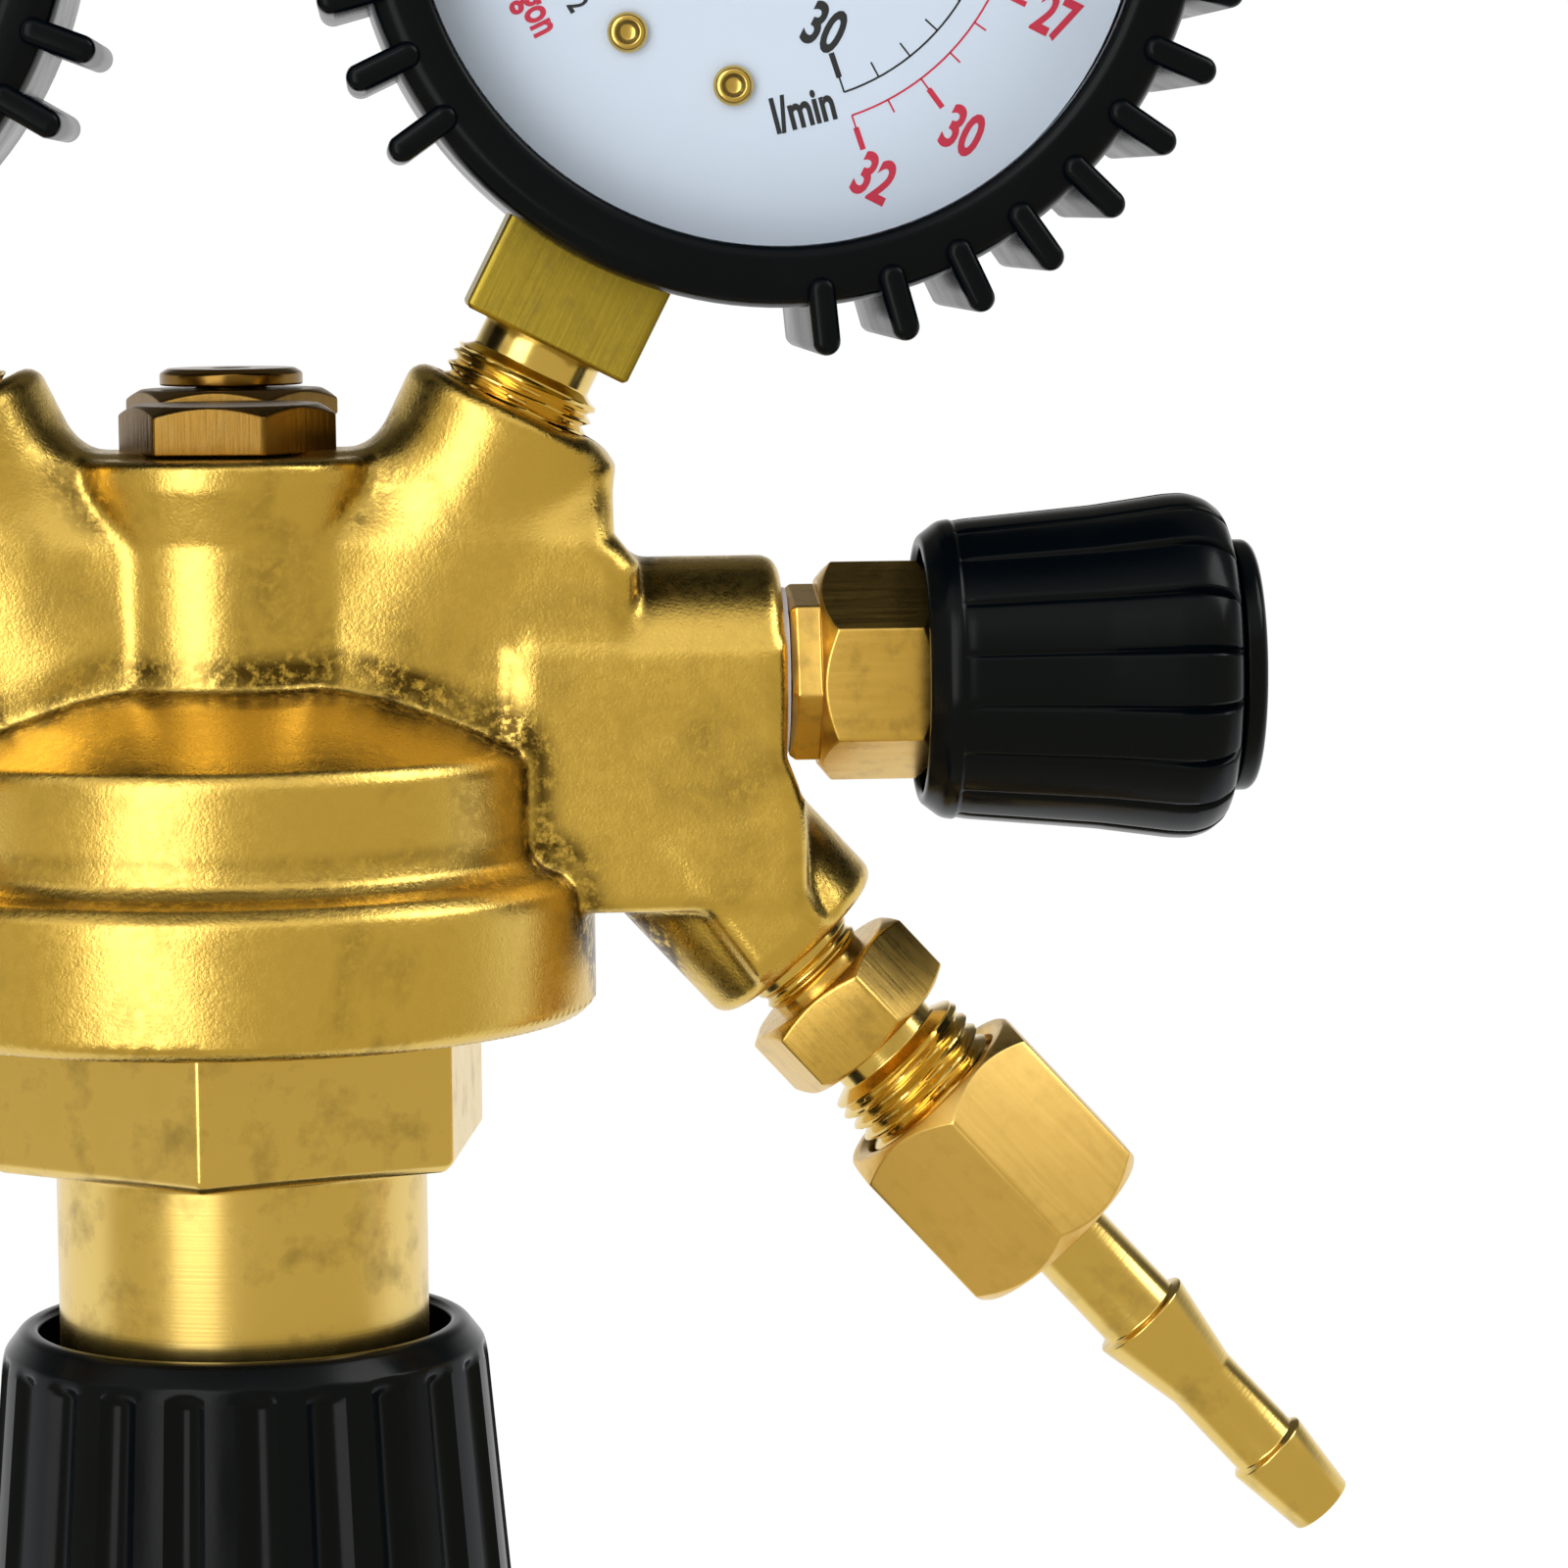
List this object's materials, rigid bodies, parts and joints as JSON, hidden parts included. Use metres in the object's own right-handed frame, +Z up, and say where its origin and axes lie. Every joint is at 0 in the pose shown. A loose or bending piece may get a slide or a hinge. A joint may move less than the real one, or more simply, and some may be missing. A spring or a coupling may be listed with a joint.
{
  "type": "flowmeter regulator",
  "caption": "Shielding gas regulator: forged brass body with two booted gauges, adjusting knob, flow needle valve, angled hose outlet and cylinder nut.",
  "frame": {"origin": "centre of the inlet seal's outer face, where the regulator seats on a cylinder valve", "axes": "+X from the inlet through the body to the flow valve, -Y the side the dials face, +Z up, along the diaphragm axis towards the top plug"},
  "size_m": [0.173, 0.0572, 0.1938],
  "materials": {
    "forged_brass": "satin as forged",
    "turned_brass": "bright turned",
    "steel": "plain",
    "black_plastic": "moulded, semi-gloss",
    "black_rubber": "moulded, slightly glossy",
    "seal_rubber": "matt",
    "white_nylon": "plain",
    "dial_enamel": "pale enamel",
    "pointer_black": "matt",
    "window_clear": "clear"
  },
  "bodies": {
    "regulator": {"body": "forged_brass", "diaphragm": "seal_rubber", "slip_ring": "white_nylon", "bonnet": "forged_brass", "adjusting_spring": "steel", "seat_nozzle": "turned_brass", "top_plug": "turned_brass", "poppet_spring": "steel", "valve_gasket": "white_nylon", "valve_bonnet": "turned_brass", "stem_packing": "seal_rubber", "outlet_adaptor": "turned_brass", "outlet_nut": "turned_brass", "hose_tail": "turned_brass", "relief_valve_body": "turned_brass", "relief_spring": "steel", "relief_cap": "turned_brass", "inlet_nipple": "turned_brass", "inlet_filter": "turned_brass", "inlet_seal": "white_nylon", "flow_gauge_case": "steel", "flow_gauge_boot": "black_rubber", "flow_gauge_window": "window_clear", "flow_gauge_dial": "dial_enamel", "flow_gauge_socket": "turned_brass", "flow_gauge_bourdon_tube": "turned_brass", "flow_gauge_movement": "turned_brass", "flow_gauge_dial_screw_1": "turned_brass", "flow_gauge_dial_screw_2": "turned_brass", "contents_gauge_case": "steel", "contents_gauge_boot": "black_rubber", "contents_gauge_window": "window_clear", "contents_gauge_dial": "dial_enamel", "contents_gauge_socket": "turned_brass", "contents_gauge_bourdon_tube": "turned_brass", "contents_gauge_movement": "turned_brass", "contents_gauge_dial_screw_1": "turned_brass", "contents_gauge_dial_screw_2": "turned_brass"},
    "spring_carrier": {"spring_button": "steel"},
    "adjuster": {"adjusting_knob": "black_plastic", "adjusting_screw": "steel", "adjusting_knob_cap": "black_plastic"},
    "flow_seat": {"seat_pad": "white_nylon"},
    "flow_control": {"valve_stem": "turned_brass", "flow_knob": "black_plastic", "flow_knob_cap": "black_plastic"},
    "lift_group": {"poppet": "turned_brass", "diaphragm_pusher": "turned_brass", "diaphragm_plate": "turned_brass"},
    "relief_seat": {"relief_disc": "seal_rubber"},
    "cylinder_nut": {"inlet_nut": "turned_brass"},
    "flow_pointer": {"flow_gauge_pointer": "pointer_black"},
    "contents_pointer": {"contents_gauge_pointer": "pointer_black"}
  },
  "joints": [
    {"name": "adjuster_climb", "type": "slide", "parent": "regulator", "child": "spring_carrier", "axis": [0, 0, 1], "range_m": [0, 0.006], "deforming": ["adjusting_spring"]},
    {"name": "adjuster_turn", "type": "hinge", "parent": "spring_carrier", "child": "adjuster", "pos_m": [0.075, 0, -0.07], "axis": [0, 0, 1], "range_deg": [0, 1440]},
    {"name": "flow_climb", "type": "slide", "parent": "regulator", "child": "flow_seat", "axis": [1, 0, 0], "range_m": [0, 0.003]},
    {"name": "flow_turn", "type": "hinge", "parent": "flow_seat", "child": "flow_control", "pos_m": [0.14, 0, 0], "axis": [1, 0, 0], "range_deg": [0, 1080]},
    {"name": "diaphragm_lift", "type": "slide", "parent": "regulator", "child": "lift_group", "axis": [0, 0, 1], "range_m": [0, 0.0006], "stiffness_N_per_m": 1500, "springref_m": -0.002, "deforming": ["diaphragm", "poppet_spring"]},
    {"name": "relief_lift", "type": "slide", "parent": "regulator", "child": "relief_seat", "axis": [0, 0, 1], "range_m": [0, 0.0008], "stiffness_N_per_m": 1000, "springref_m": -0.002, "deforming": ["relief_spring"]},
    {"name": "cylinder_nut_turn", "type": "hinge", "parent": "regulator", "child": "cylinder_nut", "pos_m": [0, 0, 0], "axis": [1, 0, 0], "continuous": true},
    {"name": "flow_pointer_turn", "type": "hinge", "parent": "regulator", "child": "flow_pointer", "pos_m": [0.11836, 0, 0.06229], "axis": [0, 1, 0], "range_deg": [0, 270], "stiffness_Nm_per_rad": 0.0005, "springref_deg": -17.19},
    {"name": "contents_pointer_turn", "type": "hinge", "parent": "regulator", "child": "contents_pointer", "pos_m": [0.03164, 0, 0.06229], "axis": [0, 1, 0], "range_deg": [0, 270], "stiffness_Nm_per_rad": 0.0005, "springref_deg": -17.19}
  ],
  "couplings": [
    {"joint": "adjuster_turn", "follows": "adjuster_climb", "rad_per_m": 4188.8},
    {"joint": "flow_turn", "follows": "flow_climb", "rad_per_m": 6283.2}
  ]
}
